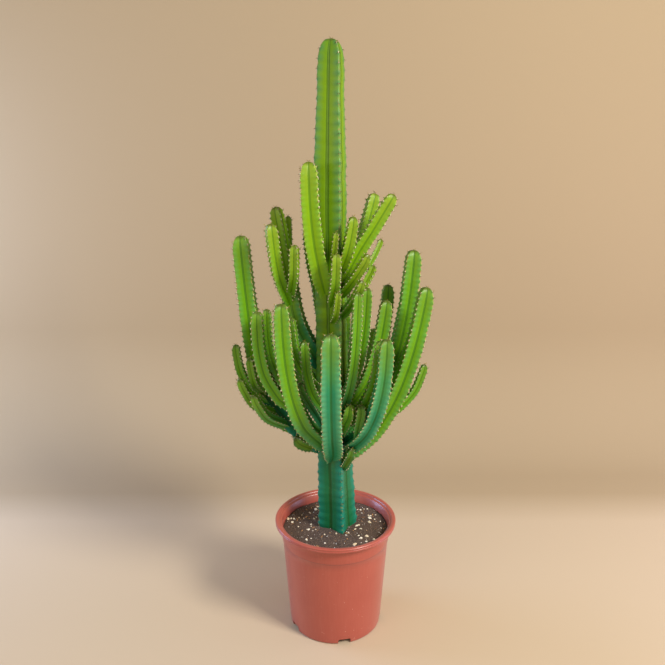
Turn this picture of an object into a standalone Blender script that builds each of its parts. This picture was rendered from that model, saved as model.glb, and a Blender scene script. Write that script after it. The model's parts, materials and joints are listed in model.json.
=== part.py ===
"""A candelabra euphorbia with two crowns of ribbed stems, rooted in a plastic nursery pot.

Lengths in the tables are centimetres, because that is how a plant is measured. CM turns them
into Blender's metres. The origin is at the middle of the pot's underside, +Z is up and the
front of the plant faces -Y.
"""

from math import atan2, ceil, cos, pi, radians, sin, sqrt

import bmesh
import bpy
from mathutils import Matrix, Vector

CM = 0.01
GAP = 0.0003  # clearance between neighbours that touch
SLANT_GAP = 0.0005  # the same, added to a ribbed stem's girth, whose faces slant

# Pot: a turned shell of even wall, with a rolled lip, a collar and slots round its base edge.
POT_HEIGHT = 0.228
BASE_RADIUS = 0.092
COLLAR_RADIUS = 0.1075
LIP_RADIUS = 0.120
LIP_THICKNESS = 0.009
WALL = 0.0022
FLOOR = 0.003
COLLAR_HEIGHT = 0.187  # where the collar band begins
COLLAR_STEP = 0.0012
CORNER = 0.004
POT_STEPS = 72
SLOT_COUNT = 5
SLOT_WIDTH = 0.025
SLOT_HEIGHT = 0.011
SLOT_DEPTH = 0.014
FIRST_SLOT = radians(-79)

# Potting mix: fills the pot to just under the lip, a little higher round the trunk.
SOIL_LEVEL = 0.206
SOIL_MOUND = 0.008

# Stems: four ribs each, joined to their parent by a narrow neck, with a domed tip.
RIBS = 4
GROOVE = 0.56  # how far out the groove between two ribs lies, as a share of the girth
NECK = 0.5  # girth of the neck, as a share of the full girth
TIP = 0.28  # girth of the flat that closes the tip
NECK_LENGTH = 2.4  # these two in girths
DOME_LENGTH = 1.5
BODY_STEP = 0.05  # distance between the sections of the body
SHARP = radians(35)
FINE = 48  # points read along each curve before its sections are placed

MAIN_FOOT = (0.8, 0.0, 14.0)
MAIN_TIP = (-0.8, 0.0, 111.8)
MAIN_GIRTH = 3.3
MAIN_TURN = 30
MAIN_TWIST = radians(-19)  # how far the ribs are turned back at the foot
TWIST_SHARE = 0.45  # share of the trunk's length over which they turn
FOOT_FLARE = 0.30  # the trunk is this much thicker at the soil
TOP_TAPER = 0.22

# name, parent, height where it leaves the parent's middle, elbow (share of the way out to the
# tip, height), tip (x, y, height), girth from the middle to a rib's edge, turn of the first rib
STEMS = [
    # upper crown, left
    ("upper_left_tall_stem", "main_stem", 67.5, (1.0, 75), (-4.6, -4.7, 92.0), 2.2, 45),
    ("upper_left_limb", "main_stem", 54, (1.0, 58.5), (-8.5, 1.6, 71.6), 2.3, 40),
    ("upper_left_inner_arm", "upper_left_limb", 68.5, (0.2, 73), (-10.8, 0.9, 84.0), 1.45, 30),
    ("upper_left_outer_arm", "upper_left_limb", 66, (0.8, 69.5), (-11.3, -3.6, 81.5), 1.45, 60),
    ("upper_left_back_tip", "upper_left_limb", 68.5, (0.9, 74), (-8.8, 4.8, 82.0), 0.9, 45),
    ("upper_left_front_spur", "upper_left_limb", 67.5, (1.0, 70.5), (-7.2, -4.6, 78.0), 1.1, 35),
    # upper crown, right
    ("upper_right_back_arm", "main_stem", 67, (0.6, 72), (7.2, 6.0, 86.0), 1.6, 55),
    ("upper_right_long_arm", "main_stem", 68.5, (0.5, 76.5), (10.2, -1.0, 86.3), 1.7, 40),
    ("upper_right_front_arm", "main_stem", 71.5, (0.9, 75), (3.0, -4.2, 82.8), 1.3, 50),
    ("upper_right_twig", "upper_right_back_arm", 70, (0.9, 72), (8.6, 7.2, 77.4), 0.75, 45),
    ("upper_right_stub", "main_stem", 64, (0.8, 67), (7.2, 4.6, 72.8), 0.95, 30),
    ("upper_right_spur", "main_stem", 67.5, (0.7, 71), (5.6, -5.4, 76.4), 1.15, 45),
    ("upper_right_low_spur", "main_stem", 64, (0.8, 66.5), (4.6, -6.2, 72.0), 1.05, 50),
    # upper crown, front
    ("upper_front_shoot", "main_stem", 74, (1.0, 76.5), (0.0, -4.8, 80.2), 0.7, 45),
    ("upper_front_spur", "main_stem", 66.5, (1.0, 69.5), (0.1, -6.2, 76.7), 1.15, 45),
    ("upper_front_bud", "main_stem", 63, (1.0, 65), (0.4, -6.2, 70.0), 0.75, 45),
    # upper crown, back
    ("upper_back_tall_stem", "main_stem", 69, (1.0, 75), (-1.4, 6.6, 89.0), 1.9, 45),
    ("upper_back_left_stem", "main_stem", 63, (1.0, 70), (-5.2, 7.4, 81.0), 1.4, 40),
    ("upper_back_right_stem", "main_stem", 62, (0.9, 67), (3.4, 9.4, 77.0), 1.3, 50),
    ("upper_back_low_stem", "main_stem", 58, (0.9, 62), (-4.0, 10.4, 73.0), 1.4, 45),
    # lower crown, left
    ("far_left_limb", "main_stem", 36.5, (0.55, 40.5), (-15.2, 2.2, 50.5), 2.2, 45),
    ("far_left_stem", "far_left_limb", 49, (0.6, 58), (-17.2, 0.6, 78.9), 2.2, 45),
    ("far_left_pup_1", "far_left_limb", 46.5, (1.0, 50.5), (-18.4, -1.8, 59.2), 1.05, 45),
    ("far_left_pup_2", "far_left_limb", 48.2, (0.9, 51), (-15.6, -4.4, 57.4), 1.0, 40),
    ("far_left_pup_3", "far_left_limb", 44.5, (0.8, 46), (-17.6, -4.4, 53.4), 1.0, 50),
    ("far_left_pup_4", "far_left_limb", 42.5, (0.8, 44), (-15.0, -5.4, 50.6), 1.05, 45),
    ("far_left_pup_5", "far_left_limb", 45, (0.9, 46.5), (-16.9, 1.4, 49.8), 0.9, 45),
    ("far_left_pup_6", "far_left_limb", 41.2, (0.9, 41.8), (-13.2, 0.6, 45.0), 0.9, 40),
    ("front_left_stem", "main_stem", 38.5, (1.0, 43), (-9.4, -9.0, 68.5), 2.1, 50),
    ("left_outer_arm", "front_left_stem", 49, (1.1, 51), (-13.8, -6.2, 66.5), 1.5, 45),
    ("left_inner_arm", "front_left_stem", 52.5, (1.1, 54), (-12.4, -3.2, 66.2), 1.25, 45),
    ("left_high_stem", "main_stem", 49.5, (1.0, 52), (-8.2, -1.7, 64.3), 1.25, 35),
    ("left_low_stem", "main_stem", 45, (1.0, 48), (-5.7, -4.6, 60.6), 1.2, 55),
    ("left_front_spur", "main_stem", 41.5, (0.8, 44), (-6.5, -5.4, 53.0), 1.1, 45),
    ("left_low_spur", "far_left_limb", 38.2, (0.8, 38.6), (-7.6, -2.2, 41.0), 1.4, 45),
    # lower crown, front
    ("front_stem", "main_stem", 36.5, (1.1, 41.5), (-0.9, -10.0, 63.4), 2.5, 45),
    ("front_pup", "main_stem", 41, (0.9, 42.5), (2.6, -6.4, 49.0), 1.4, 30),
    ("trunk_spur", "main_stem", 34, (0.8, 35.5), (3.0, -5.4, 40.0), 1.1, 45),
    # lower crown, right
    ("front_right_stem", "main_stem", 37.5, (1.0, 42), (8.8, -9.2, 62.3), 1.9, 45),
    ("far_right_stem", "main_stem", 36, (0.76, 40.5), (16.4, -2.2, 70.0), 2.1, 45),
    ("right_tall_stem", "main_stem", 40, (0.88, 43), (14.7, 5.2, 75.6), 2.3, 45),
    ("right_back_stem", "main_stem", 42.5, (0.95, 45), (10.4, 10.2, 68.0), 1.75, 45),
    ("right_mid_stem", "main_stem", 44.5, (0.8, 47), (9.4, 0.4, 67.0), 1.8, 45),
    ("right_front_arm", "main_stem", 43, (0.95, 45.5), (8.0, -5.8, 61.0), 1.5, 40),
    ("right_inner_stem", "main_stem", 47.5, (0.95, 51), (5.5, -3.8, 70.3), 1.4, 45),
    ("right_slim_stem", "main_stem", 44.5, (0.95, 48), (3.8, -6.9, 70.0), 1.2, 50),
    ("centre_back_shoot", "main_stem", 51.5, (1.0, 54), (2.0, 5.4, 63.6), 1.35, 45),
    ("right_high_pup", "right_tall_stem", 50, (0.8, 52.5), (13.8, 1.0, 58.7), 1.0, 45),
    ("right_low_pup", "far_right_stem", 45.5, (0.8, 47.5), (16.6, -1.4, 55.2), 0.95, 45),
    ("right_low_spur", "front_right_stem", 41.5, (0.9, 44), (4.6, -6.4, 49.0), 1.2, 45),
    # lower crown, back
    ("back_left_stem", "main_stem", 42.5, (0.95, 46), (-10.5, 9.4, 62.5), 1.9, 45),
    ("back_far_left_stem", "far_left_limb", 42.5, (0.8, 46), (-14.6, 7.4, 61.0), 1.6, 45),
    ("back_centre_stem", "main_stem", 38, (1.0, 42), (-1.6, 13.4, 68.0), 2.2, 45),
    ("back_inner_right_stem", "main_stem", 47, (0.95, 49.5), (4.4, 12.2, 62.0), 1.6, 45),
    ("back_right_stem", "main_stem", 36, (0.95, 39.5), (8.0, 14.0, 58.0), 1.8, 45),
    ("back_inner_left_stem", "main_stem", 49, (0.95, 51.5), (-5.6, 11.0, 57.5), 1.5, 45),
]

# (stem, neighbour): pairs so crowded where they leave the trunk that the first is trimmed back
CROWDED = [
    ("upper_left_front_spur", "upper_left_outer_arm"),
    ("upper_left_back_tip", "upper_left_inner_arm"),
    ("front_left_stem", "front_stem"),
    ("front_right_stem", "front_stem"),
    ("left_front_spur", "front_left_stem"),
    ("left_inner_arm", "left_outer_arm"),
    ("far_left_pup_1", "far_left_pup_3"),
    ("far_left_pup_2", "far_left_pup_1"),
    ("far_left_pup_5", "far_left_pup_1"),
    ("far_left_pup_6", "far_left_pup_4"),
    ("trunk_spur", "front_stem"),
    ("front_pup", "front_stem"),
    ("front_left_stem", "far_left_limb"),
    ("front_right_stem", "far_right_stem"),
    ("right_tall_stem", "far_right_stem"),
    ("right_back_stem", "right_tall_stem"),
    ("right_front_arm", "right_mid_stem"),
    ("back_right_stem", "back_centre_stem"),
    ("upper_right_front_arm", "upper_right_long_arm"),
]

# colours of living tissue, darkest at the oldest wood
TRUNK_GREEN = (0.020, 0.105, 0.070, 1)
LOW_GREEN = (0.075, 0.235, 0.045, 1)
HIGH_GREEN = (0.180, 0.330, 0.020, 1)


def clear_scene():
    for old in list(bpy.data.objects):
        bpy.data.objects.remove(old, do_unlink=True)


def new_collection(name):
    made = bpy.data.collections.new(name)
    bpy.context.scene.collection.children.link(made)
    return made


def new_material(name, colour, roughness):
    made = bpy.data.materials.new(name)
    made.use_nodes = True
    shader = made.node_tree.nodes["Principled BSDF"]
    shader.inputs["Base Color"].default_value = colour
    shader.inputs["Roughness"].default_value = roughness
    shader.inputs["Metallic"].default_value = 0
    return made


def new_object(name, data, collection):
    made = bpy.data.objects.new(name, data)
    collection.objects.link(made)
    return made


def hide_helper(helper):
    helper.hide_render = True
    helper.display_type = "WIRE"


def as_mesh(source, name, collection):
    """A welded mesh object in place of a curve, or of an object with modifiers."""
    bpy.context.view_layer.update()
    shape = source.evaluated_get(bpy.context.evaluated_depsgraph_get())
    data = bpy.data.meshes.new_from_object(shape)
    place = source.matrix_world.copy()
    bpy.data.objects.remove(source, do_unlink=True)
    cage = bmesh.new()
    cage.from_mesh(data)
    bmesh.ops.remove_doubles(cage, verts=cage.verts, dist=0.00001)
    bmesh.ops.recalc_face_normals(cage, faces=cage.faces)
    cage.to_mesh(data)
    cage.free()
    data.shade_smooth()
    data.set_sharp_from_angle(angle=SHARP)
    made = new_object(name, data, collection)
    made.matrix_world = place
    return made


def cut(body, cutter):
    difference = body.modifiers.new("clear of " + cutter.name, "BOOLEAN")
    difference.operation = "DIFFERENCE"
    difference.object = cutter


# ---------------------------------------------------------------- turned pieces


def turn(name, profile, steps, collection):
    """A solid of revolution round Z. The profile runs from the axis, down the outer side, back."""
    data = bpy.data.meshes.new(name)
    edges = [(i, i + 1) for i in range(len(profile) - 1)]
    data.from_pydata([(radius, 0, height) for radius, height in profile], edges, [])
    made = new_object(name, data, collection)
    screw = made.modifiers.new("turn", "SCREW")
    screw.steps = steps
    screw.render_steps = steps
    screw.use_merge_vertices = True
    screw.merge_threshold = 0.00001
    return made


def arc(centre, radius, start, end, count):
    """Points of a quarter round or a half round in the profile plane, angles in degrees."""
    swing = [radians(start + (end - start) * i / count) for i in range(count + 1)]
    return [(centre[0] + radius * cos(a), centre[1] + radius * sin(a)) for a in swing]


def wall_radius(height):
    """Outer radius of the tapered wall below the lip."""
    top = POT_HEIGHT - LIP_THICKNESS
    return BASE_RADIUS + (COLLAR_RADIUS - BASE_RADIUS) * height / top


def pot_profile():
    roll = LIP_THICKNESS / 2
    lip_middle = POT_HEIGHT - roll
    inner_lip = COLLAR_RADIUS + 0.0025
    inside_step = POT_HEIGHT - 0.005
    outside = arc((LIP_RADIUS - roll, lip_middle), roll, 90, -90, 6)
    outside += [
        (COLLAR_RADIUS + COLLAR_STEP, POT_HEIGHT - LIP_THICKNESS),
        (wall_radius(COLLAR_HEIGHT) + COLLAR_STEP, COLLAR_HEIGHT),
        (wall_radius(COLLAR_HEIGHT), COLLAR_HEIGHT - COLLAR_STEP),
    ]
    outside += arc((BASE_RADIUS - CORNER, CORNER), CORNER, 0, -90, 3)
    inside = [
        (0, 0),
        (0, FLOOR),
        (BASE_RADIUS - WALL - CORNER / 2, FLOOR),
        (wall_radius(CORNER) - WALL, FLOOR + CORNER / 2),
        (wall_radius(COLLAR_HEIGHT) - WALL, COLLAR_HEIGHT),
        (COLLAR_RADIUS - WALL + COLLAR_STEP, inside_step),
        (inner_lip, inside_step),
        (inner_lip + 0.0015, POT_HEIGHT - 0.001),
    ]
    start = (LIP_RADIUS - 2 * roll + 0.001, POT_HEIGHT)
    return [start] + outside + inside + [start]


def slot_cutter(number, grown, collection):
    """A box through the base edge, from outside the pot to SLOT_DEPTH inside it."""
    azimuth = FIRST_SLOT + 2 * pi * number / SLOT_COUNT
    outer = BASE_RADIUS + 0.01
    inner = BASE_RADIUS - SLOT_DEPTH - grown
    size = (outer - inner, SLOT_WIDTH + 2 * grown, 2 * (SLOT_HEIGHT + grown))
    data = bpy.data.meshes.new(f"slot_{number}")
    cage = bmesh.new()
    bmesh.ops.create_cube(cage, size=1, matrix=Matrix.Diagonal((*size, 1)))
    cage.to_mesh(data)
    cage.free()
    made = new_object(data.name, data, collection)
    middle = (outer + inner) / 2
    made.location = (middle * cos(azimuth), middle * sin(azimuth), 0)
    made.rotation_euler.z = azimuth
    hide_helper(made)
    return made


def build_pot(parts, cutters):
    pot = turn("turned_pot", pot_profile(), POT_STEPS, parts)
    for number in range(SLOT_COUNT):
        cut(pot, slot_cutter(number, 0, cutters))
    pot.data.materials.append(new_material("terracotta_plastic", (0.42, 0.115, 0.07, 1), 0.42))
    as_mesh(pot, "nursery_pot", parts)


def build_soil(parts, cutters, trunk_cutter):
    floor = FLOOR + GAP
    side = WALL + GAP
    profile = [
        (0, SOIL_LEVEL + SOIL_MOUND),
        (0.05, SOIL_LEVEL + SOIL_MOUND * 0.7),
        (0.085, SOIL_LEVEL + SOIL_MOUND * 0.15),
        (wall_radius(COLLAR_HEIGHT) - side, SOIL_LEVEL),
        (wall_radius(COLLAR_HEIGHT) - side, COLLAR_HEIGHT),
        (wall_radius(CORNER) - side - 0.001, FLOOR + CORNER),
        (BASE_RADIUS - side - CORNER, floor),
        (0, floor),
    ]
    soil = turn("turned_mix", profile, POT_STEPS // 2, parts)
    cut(soil, trunk_cutter)
    for number in range(SLOT_COUNT):
        cut(soil, slot_cutter(number, GAP, cutters))
    soil.data.materials.append(new_material("potting_mix", (0.085, 0.055, 0.04, 1), 0.95))
    as_mesh(soil, "potting_mix", parts)


# ---------------------------------------------------------------- stems


def ribbed_section(collection):
    """The star-shaped outline of a stem of girth 1, as a bevel profile."""
    data = bpy.data.curves.new("ribbed_section", "CURVE")
    data.dimensions = "2D"
    outline = data.splines.new("POLY")
    count = 2 * RIBS
    outline.points.add(count - 1)
    outline.use_cyclic_u = True
    for i, point in enumerate(outline.points):
        angle = 2 * pi * i / count
        reach = GROOVE if i % 2 else 1
        point.co = (reach * cos(angle), reach * sin(angle), 0, 1)
    made = new_object(data.name, data, collection)
    hide_helper(made)
    return made


def swept_path(root, elbow, tip):
    """Points evenly spread along the curve that leaves root towards elbow and ends at tip."""
    path = []
    for i in range(FINE + 1):
        t = i / FINE
        path.append(root * (1 - t) ** 2 + elbow * 2 * t * (1 - t) + tip * t**2)
    return path


def distances(path):
    run = [0.0]
    for before, after in zip(path, path[1:]):
        run.append(run[-1] + (after - before).length)
    return run


def at_distance(path, run, distance):
    for i in range(1, len(path)):
        if distance <= run[i] or i == len(path) - 1:
            share = (distance - run[i - 1]) / (run[i] - run[i - 1])
            return path[i - 1].lerp(path[i], share)


def at_height(path, height):
    for before, after in zip(path, path[1:]):
        if before.z <= height <= after.z:
            return before.lerp(after, (height - before.z) / (after.z - before.z))
    return path[-1]


def stem_sections(path, girth):
    """(point, radius) of each section, closest together at the neck and in the domed tip."""
    run = distances(path)
    length = run[-1]
    neck = min(NECK_LENGTH * girth, 0.35 * length)
    dome = min(DOME_LENGTH * girth, 0.4 * length)
    body = length - neck - dome
    body_count = ceil(body / BODY_STEP)
    stations = [(0, NECK), (neck * 0.5, (1 + NECK) / 2)]
    for i in range(body_count + 1):
        share = i / body_count
        swell = 1 - 0.1 * share**2 - 0.05 * (1 - share) ** 2
        stations.append((neck + body * share, swell))
    for share in (0.45, 0.8, 1):
        stations.append((length - dome * (1 - share), 0.9 * sqrt(1 - (0.95 * share) ** 2)))
    stations[-1] = (length, TIP)
    return [(at_distance(path, run, d), girth * r) for d, r in stations]


def main_sections(path):
    """Like stem_sections, for the trunk and leader: flared at the soil, tapered at the top."""
    run = distances(path)
    length = run[-1]
    girth = MAIN_GIRTH * CM
    dome = 1.3 * girth
    stations = []
    count = ceil((length - dome) / (BODY_STEP * 1.3))
    for i in range(count + 1):
        share = i / count
        flare = FOOT_FLARE * max(0, 1 - share * 3) ** 1.5
        taper = TOP_TAPER * max(0, share - 0.8) / 0.2
        stations.append(((length - dome) * share, 1 + flare - taper))
    for share in (0.45, 0.8, 1):
        radius = (1 - TOP_TAPER) * sqrt(1 - (0.95 * share) ** 2)
        stations.append((length - dome * (1 - share), radius))
    return [(at_distance(path, run, d), girth * r) for d, r in stations]


def tilt_for(points, azimuth):
    """The tilt that makes the first rib face this azimuth at the tip.

    It follows the least-twist frame of the curve from its first stretch to its last.
    """
    ways = [(after - before).normalized() for before, after in zip(points, points[1:])]
    frame = ways[0].to_track_quat("-Z", "Y")
    for before, after in zip(ways, ways[1:]):
        frame = before.rotation_difference(after) @ frame
    rib = frame @ Vector((1, 0, 0))
    side = ways[-1].cross(rib)
    wanted = Vector((cos(azimuth), sin(azimuth), 0))
    return atan2(wanted.dot(side), wanted.dot(rib))


def sweep(name, sections, azimuth, twist, outline, grown, collection):
    """The ribbed section carried along the stem, as a closed mesh. The foot is turned by twist."""
    data = bpy.data.curves.new(name, "CURVE")
    data.dimensions = "3D"
    data.bevel_mode = "OBJECT"
    data.bevel_object = outline
    data.use_fill_caps = True
    data.twist_mode = "MINIMUM"
    spline = data.splines.new("POLY")
    spline.points.add(len(sections) - 1)
    tilt = tilt_for([point for point, radius in sections], azimuth)
    for i, (knot, (point, radius)) in enumerate(zip(spline.points, sections)):
        share = i / (len(sections) - 1)
        knot.co = (*point, 1)
        knot.radius = radius + grown
        knot.tilt = tilt + twist * max(0, 1 - share / TWIST_SHARE)
    return as_mesh(new_object(name, data, collection), name, collection)


def green_at(height):
    """Older tissue low down is dark and bluish, young tissue at the top is yellow-green."""
    share = min(1, max(0, (height - 0.4) / 0.5))
    return tuple(a + (b - a) * share for a, b in zip(LOW_GREEN, HIGH_GREEN))


def build_stems(parts, cutters):
    """Every stem, each cut back to clear the one it grows from. Returns the trunk's cutter."""
    outline = ribbed_section(cutters)
    cleared = {row[1] for row in STEMS} | {neighbour for stem, neighbour in CROWDED}
    clearance = {}
    paths = {}

    def grow(name, path, sections, turn_degrees, twist, colour):
        azimuth = radians(turn_degrees)
        stem = sweep(name, sections, azimuth, twist, outline, 0, parts)
        stem.data.materials.append(new_material(name + "_skin", colour, 0.5))
        paths[name] = path
        if name in cleared:
            helper = name + "_clearance"
            clear = sweep(helper, sections, azimuth, twist, outline, SLANT_GAP, cutters)
            hide_helper(clear)
            clearance[name] = clear
        return stem

    foot, top = Vector(MAIN_FOOT) * CM, Vector(MAIN_TIP) * CM
    middle = Vector((2 * MAIN_TIP[0], 0, (MAIN_FOOT[2] + MAIN_TIP[2]) / 2)) * CM
    path = swept_path(foot, middle, top)
    grow("main_stem", path, main_sections(path), MAIN_TURN, MAIN_TWIST, TRUNK_GREEN)

    for name, parent, leaves_at, (out, elbow_height), tip, girth, turned in STEMS:
        root = at_height(paths[parent], leaves_at * CM)
        end = Vector(tip) * CM
        elbow = root.lerp(end, out)
        elbow.z = elbow_height * CM
        path = swept_path(root, elbow, end)
        sections = stem_sections(path, girth * CM)
        stem = grow(name, path, sections, turned, 0, green_at(end.z))
        cut(stem, clearance[parent])

    for name, neighbour in CROWDED:
        cut(bpy.data.objects[name], clearance[neighbour])
    return clearance["main_stem"]


def build():
    clear_scene()
    parts = new_collection("potted_euphorbia")
    cutters = new_collection("cutters")
    trunk_cutter = build_stems(parts, cutters)
    build_pot(parts, cutters)
    build_soil(parts, cutters, trunk_cutter)


build()
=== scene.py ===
import json
import math

import bmesh
import bpy
from mathutils import Matrix, Vector, noise


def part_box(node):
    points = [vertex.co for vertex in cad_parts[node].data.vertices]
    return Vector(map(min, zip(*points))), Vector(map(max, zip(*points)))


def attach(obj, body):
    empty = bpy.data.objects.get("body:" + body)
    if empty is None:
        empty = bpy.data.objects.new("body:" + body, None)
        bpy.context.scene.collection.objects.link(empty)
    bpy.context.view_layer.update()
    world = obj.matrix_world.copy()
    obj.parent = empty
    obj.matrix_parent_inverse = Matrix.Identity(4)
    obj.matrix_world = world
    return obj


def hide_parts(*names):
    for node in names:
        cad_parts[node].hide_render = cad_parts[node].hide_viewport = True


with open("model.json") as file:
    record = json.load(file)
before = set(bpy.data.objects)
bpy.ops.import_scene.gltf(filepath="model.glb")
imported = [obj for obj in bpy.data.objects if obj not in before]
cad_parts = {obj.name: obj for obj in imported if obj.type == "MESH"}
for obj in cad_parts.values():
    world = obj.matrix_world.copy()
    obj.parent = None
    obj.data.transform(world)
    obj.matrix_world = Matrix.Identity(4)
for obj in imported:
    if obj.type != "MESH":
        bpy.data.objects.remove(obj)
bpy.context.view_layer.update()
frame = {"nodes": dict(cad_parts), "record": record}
scene = bpy.context.scene
scene.view_settings.view_transform = "Standard"  # so a hex colour shows as that colour
mm = 0.001


# one hex colour, as a screen shows it, in the linear numbers that a shader takes
def linear(hexColour):
    channels = [int(hexColour[i : i + 2], 16) / 255 for i in (1, 3, 5)]
    return [c / 12.92 if c <= 0.04045 else ((c + 0.055) / 1.055) ** 2.4 for c in channels] + [1]


# sets or links a node's inputs, by number or by name
def plug(tree, node, inputs):
    for key, value in inputs.items():
        if isinstance(value, bpy.types.Node):
            value = value.outputs[0]
        if isinstance(value, bpy.types.NodeSocket):
            tree.links.new(value, node.inputs[key])
        elif value is not None:
            node.inputs[key].default_value = value


# adds one node: values go to its inputs in order, named ones by name, the rest are settings.
# The kind is a shader node's name without its first words, or a geometry node's, or a full name.
def add(tree, kind, *values, named=None, **settings):
    names = [start + kind for start in ("ShaderNode", "GeometryNode", "")]
    node = tree.nodes.new(next(name for name in names if hasattr(bpy.types, name)))
    for name, value in settings.items():
        setattr(node, name, value)
    plug(tree, node, dict(enumerate(values)) | (named or {}))
    return node


# colours laid over a base one after another, each by its own factor
def layered(tree, base, coats):
    for factor, hexColour in coats:
        coat = {"Factor": factor, 6: base, 7: linear(hexColour)}
        base = add(tree, "Mix", data_type="RGBA", named=coat).outputs[2]
    return base


# an empty node group for a modifier, with its named inputs
def newTree(name, inputs):
    tree = bpy.data.node_groups.new(name, "GeometryNodeTree")
    tree.interface.new_socket("Geometry", in_out="INPUT", socket_type="NodeSocketGeometry")
    for label, value in inputs.items():
        kind = {float: "NodeSocketFloat", int: "NodeSocketInt"}.get(type(value), "NodeSocketMaterial")
        socket = tree.interface.new_socket(label, in_out="INPUT", socket_type=kind)
        socket.default_value = value
    tree.interface.new_socket("Geometry", in_out="OUTPUT", socket_type="NodeSocketGeometry")
    return tree, tree.nodes.new("NodeGroupInput").outputs


def linked(name, data):
    made = bpy.data.objects.new(name, data)
    scene.collection.objects.link(made)
    return made


# the piece's mesh with its modifiers worked in
def worked(piece):
    bpy.context.view_layer.update()
    shape = piece.evaluated_get(bpy.context.evaluated_depsgraph_get())
    return bpy.data.meshes.new_from_object(shape)


# runs a node group on a mesh and keeps the result as a plain mesh object of the same name
def grown(name, mesh, tree, inputs):
    source = linked(name + "_source", mesh)
    modifier = source.modifiers.new("grow", "NODES")
    modifier.node_group = tree
    for item in tree.interface.items_tree:
        if item.in_out == "INPUT" and item.name in inputs:
            modifier[item.identifier] = inputs[item.name]
    made = linked(name, worked(source))
    made.data.name = name
    bpy.data.objects.remove(source, do_unlink=True)
    return made


# a material, its tree and shader, and the object's own coordinates
def newMaterial(name):
    material = bpy.data.materials.new(name)
    material.use_nodes = True
    tree = material.node_tree
    spot = add(tree, "TexCoord").outputs["Object"]
    return material, tree, tree.nodes["Principled BSDF"], spot


view = {"spot": (-0.006, -1.254, 0.955), "tiltDown": 15.4, "lens": 37.9}


def placeCamera():
    camera = linked("camera", bpy.data.cameras.new("camera"))
    camera.data.lens = view["lens"]
    camera.location = view["spot"]
    camera.rotation_euler = (math.radians(90 - view["tiltDown"]), 0, 0)
    scene.camera = camera


studio = {
    "floorHalfWidth": 4.0,
    "floorFront": -4.0,
    "wallAt": 0.62,  # how far behind the pot the backdrop turns up
    "bend": 0.35,
    "wallHeight": 3.5,
    "shadeChange": (0.37, 0.52),  # painted shade: from the floor's tone to the darker far tone, metres behind the pot
    "paperFloor": "#c4b196",
    # painted shade: the darker tone of the far part
    "paperWallShade": "#ae9a7c",
    "world": "#f2eee8",
    "worldStrength": 0.5,
    "aim": (0, 0, 0.55),
    # name, place, size, watts, colour
    "lamps": [
        ("keyLight", (1.8, -1.5, 2.3), 0.8, 95, "#fffaf2"),
        ("fillLight", (-1.8, -1.9, 1.3), 1.6, 12, "#fff6ea"),
        ("rimLight", (-1.7, 0.45, 0.8), 0.9, 24, "#b4ccff"),
        ("sideLight", (1.6, 0.05, 0.5), 0.8, 6, "#dcd4ff"),
    ],
}


def buildStage():
    profile = [(studio["floorFront"], 0)]
    for step in range(13):
        angle = math.radians(90 * step / 12)
        profile.append((studio["wallAt"] + studio["bend"] * math.sin(angle),
                        studio["bend"] * (1 - math.cos(angle))))
    profile.append((studio["wallAt"] + studio["bend"], studio["wallHeight"]))
    half = studio["floorHalfWidth"]
    points = [(x, y, z) for y, z in profile for x in (-half, half)]
    faces = [(2 * i, 2 * i + 1, 2 * i + 3, 2 * i + 2) for i in range(len(profile) - 1)]
    data = bpy.data.meshes.new("paper_sweep")
    data.from_pydata(points, [], faces)
    data.shade_smooth()
    paper, tree, shader, spot = newMaterial("mattPaper")
    # painted shade: the far part is darker than the floor, as if it got less light, with a soft change
    # between them
    place = add(tree, "SeparateXYZ", spot)
    shadedFar = add(tree, "MapRange", place.outputs["Y"], *studio["shadeChange"])
    shade = layered(tree, linear(studio["paperFloor"]), [(shadedFar, studio["paperWallShade"])])
    plug(tree, shader, {"Base Color": shade, "Roughness": 0.9, "Specular IOR Level": 0.2})
    # seen from behind or below the paper is clear, so it hides nothing from a camera there
    fromBehind = add(tree, "NewGeometry").outputs["Backfacing"]
    clear = add(tree, "BsdfTransparent")
    oneSided = add(tree, "MixShader", fromBehind, shader, clear)
    plug(tree, tree.nodes["Material Output"], {"Surface": oneSided})
    data.materials.append(paper)
    floor = linked("paper_sweep", data)

    world = bpy.data.worlds.new("softRoom")
    world.use_nodes = True
    world.node_tree.nodes["Background"].inputs[0].default_value = linear(studio["world"])
    world.node_tree.nodes["Background"].inputs[1].default_value = studio["worldStrength"]
    scene.world = world
    for name, place, size, watts, colour in studio["lamps"]:
        lamp = bpy.data.lights.new(name, "AREA")
        lamp.size = size
        lamp.energy = watts
        lamp.color = linear(colour)[:3]
        holder = linked(name, lamp)
        holder.location = place
        aim = Vector(studio["aim"]) - Vector(place)
        holder.rotation_euler = aim.to_track_quat("-Z", "Y").to_euler()


placeCamera()
buildStage()
print("camera, paper sweep and lamps are up")


# The pot is a turned shell with a double-beaded lip, a collar line and notches round its base
pot = {
    "wallFoot": 92 * mm,  # outer radius of the wall at the floor and just under the lip
    "wallTop": 107.5 * mm,
    "wall": 2.2 * mm,
    "floor": 3 * mm,
    "lipDepth": 9 * mm,
    "bead": 2.5 * mm,
    "lipInside": 110.6 * mm,
    "collarAt": 187 * mm,
    "collarStep": 1.2 * mm,
    "corner": 4 * mm,
    "footRing": 80 * mm,
    "recess": 1.2 * mm,
    "steps": 160,
    "notches": 5,
    "firstNotch": -79,
    "notchWide": 25 * mm,
    "notchHigh": 11 * mm,
    "notchDeep": 14 * mm,
    "notchRound": 3.5 * mm,
    "outOfRound": 0.5 * mm,
    "sharpAngle": 42,
}


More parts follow.
